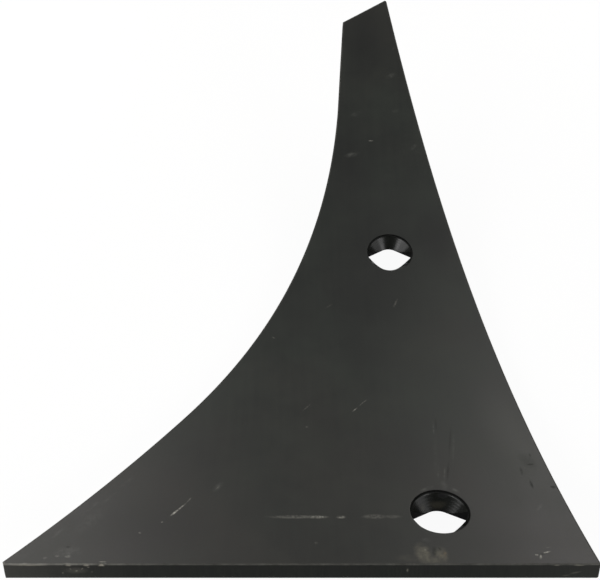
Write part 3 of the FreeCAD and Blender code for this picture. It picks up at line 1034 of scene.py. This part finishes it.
# %% Roll the plate and make it a plain mesh
bend = plate.modifiers.new("roll", "NODES")
bend.node_group = roll
roll_settings = {"Roll Radius": ROLL_RADIUS * MM, "First Turn": first_turn,
                 "Axis": [c * MM for c in axis_point]}
roll_settings.update({name: paint for name, (_, paint) in PAINTS.items()})
for name, value in roll_settings.items():
    bend[roll_sockets[name]] = value
graph = bpy.context.evaluated_depsgraph_get()
rolled = bpy.data.meshes.new_from_object(
    plate.evaluated_get(graph), preserve_all_data_layers=True, depsgraph=graph)
plate.modifiers.clear()
plate.data = rolled
rolled.name = "rolled_plate"
lowest = [min(v.co[i] for v in rolled.vertices) for i in range(3)]
highest = [max(v.co[i] for v in rolled.vertices) for i in range(3)]
print("rolled plate from", [round(v, 4) for v in lowest], "to", [round(v, 4) for v in highest])

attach(plate, "root")
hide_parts(NODE)

# %% [markdown]
# ## The floor
# The plate lies on pale paper, and the photograph shows that paper as plain white. More light
# would wash out the plate, so the paper is told apart by who looks at it. A ray from the camera,
# or one that comes to it by way of a shiny surface, meets mostly white light, with a little of
# the real paper left in it, so that the plate keeps its shadow. All other rays meet plain paper.

# %% Floor
FLOOR_SIZE = 40.0
WHITE_SHARE = 0.94
bpy.ops.mesh.primitive_plane_add(size=FLOOR_SIZE, location=(0, 0, 0))
floor = bpy.context.object
floor.name = "floor"
paper = bpy.data.materials.new("pale_paper")
paper.use_nodes = True
tree = paper.node_tree
tree.nodes.clear()
seen_by = add(tree, "ShaderNodeLightPath")
direct = maths(
    tree, "MAXIMUM", seen_by.outputs["Is Camera Ray"], seen_by.outputs["Is Glossy Ray"])
direct = maths(tree, "MAXIMUM", direct, seen_by.outputs["Is Transmission Ray"])
lift = maths(tree, "MULTIPLY", direct, WHITE_SHARE)
paper_shade = add(tree, "ShaderNodeBsdfDiffuse", {"Color": linear("#f2f2f0")})
glow = add(tree, "ShaderNodeEmission", {"Color": (1, 1, 1, 1), "Strength": 1.0})
mixed = add(tree, "ShaderNodeMixShader", {
    0: lift, 1: paper_shade.outputs[0], 2: glow.outputs[0]})
add(tree, "ShaderNodeOutputMaterial", {"Surface": mixed.outputs[0]})
floor.data.materials.append(paper)
print("floor:", FLOOR_SIZE, "m wide, seen by the camera as", WHITE_SHARE, "white light")

# %% [markdown]
# ## The lamps
# A satin black plate shows its lamps more than its colour. In the photograph both ends of the
# share edge are brighter than the middle, so a softbox stands at each side, close and low, where
# the ends mirror it and the middle doesn't. Two more pairs stand in front and at the sides: the
# small ones give the bright patch in each flank of the bolt seats, and the large ones the softer
# light around it. The world is a dim even grey.

# %% Lamps
def soft_light(name, place, target, size, power, colour):
    """A rectangular lamp that faces a target."""
    lamp = bpy.data.lights.new(name, "AREA")
    lamp.shape = "RECTANGLE"
    lamp.size, lamp.size_y = size
    lamp.energy = power
    lamp.color = colour
    holder = bpy.data.objects.new(name, lamp)
    holder.location = place
    holder.rotation_euler = (Vector(target) - Vector(place)).to_track_quat("-Z", "Y").to_euler()
    bpy.context.scene.collection.objects.link(holder)
    return holder


LAMPS = {  # place, target, width and height in metres, power in watts
    "left_softbox": ((-0.40, 0.45, 0.35), (-0.05, -0.10, 0.0), (0.30, 0.30), 1.35),
    "right_softbox": ((0.40, 0.45, 0.35), (0.05, -0.10, 0.0), (0.30, 0.30), 1.10),
    "left_front_lamp": ((-0.80, -0.86, 0.50), (0.0, 0.0, 0.0), (0.42, 0.42), 3.0),
    "right_front_lamp": ((0.80, -0.86, 0.50), (0.0, 0.0, 0.0), (0.42, 0.42), 2.6),
    "left_side_lamp": ((-0.95, -0.45, 0.50), (0.0, 0.0, 0.0), (1.10, 0.60), 9.6),
    "right_side_lamp": ((0.95, -0.45, 0.50), (0.0, 0.0, 0.0), (1.10, 0.60), 5.0),
}
WARM, WHITE = (1.0, 0.965, 0.945), (1.0, 1.0, 1.0)
for name, (lamp_place, target, size, power) in LAMPS.items():
    soft_light(name, lamp_place, target, size, power, WARM if "softbox" in name else WHITE)
print("lamps:", len(LAMPS))

# %% World
WORLD_LIGHT = 0.30
world = bpy.data.worlds.new("studio")
world.use_nodes = True
background = world.node_tree.nodes["Background"]
background.inputs["Color"].default_value = (*WHITE, 1.0)
background.inputs["Strength"].default_value = WORLD_LIGHT
bpy.context.scene.world = world
print("world:", WORLD_LIGHT, "of white from all sides")

# %% [markdown]
# ## The camera
# The photograph was taken from in front of the share edge, looking down at about 45 degrees. Its
# place and lens were found by fitting the plate's outline and both hole mouths.

# %% Camera
CAMERA_PLACE = (-0.0005, -0.39636, 0.39403)
LOOK_DOWN = 44.622
LENS, SENSOR_WIDTH = 53.93, 36.0
camera_data = bpy.data.cameras.new("camera")
camera_data.lens = LENS
camera_data.sensor_width = SENSOR_WIDTH
camera_data.clip_start = 0.01
camera = bpy.data.objects.new("camera", camera_data)
camera.location = CAMERA_PLACE
camera.rotation_euler = (math.radians(90 - LOOK_DOWN), 0, 0)
bpy.context.scene.collection.objects.link(camera)
bpy.context.scene.camera = camera
bpy.context.scene.view_settings.view_transform = "Standard"
print("camera looks down at", LOOK_DOWN, "degrees through a lens of", LENS, "mm")
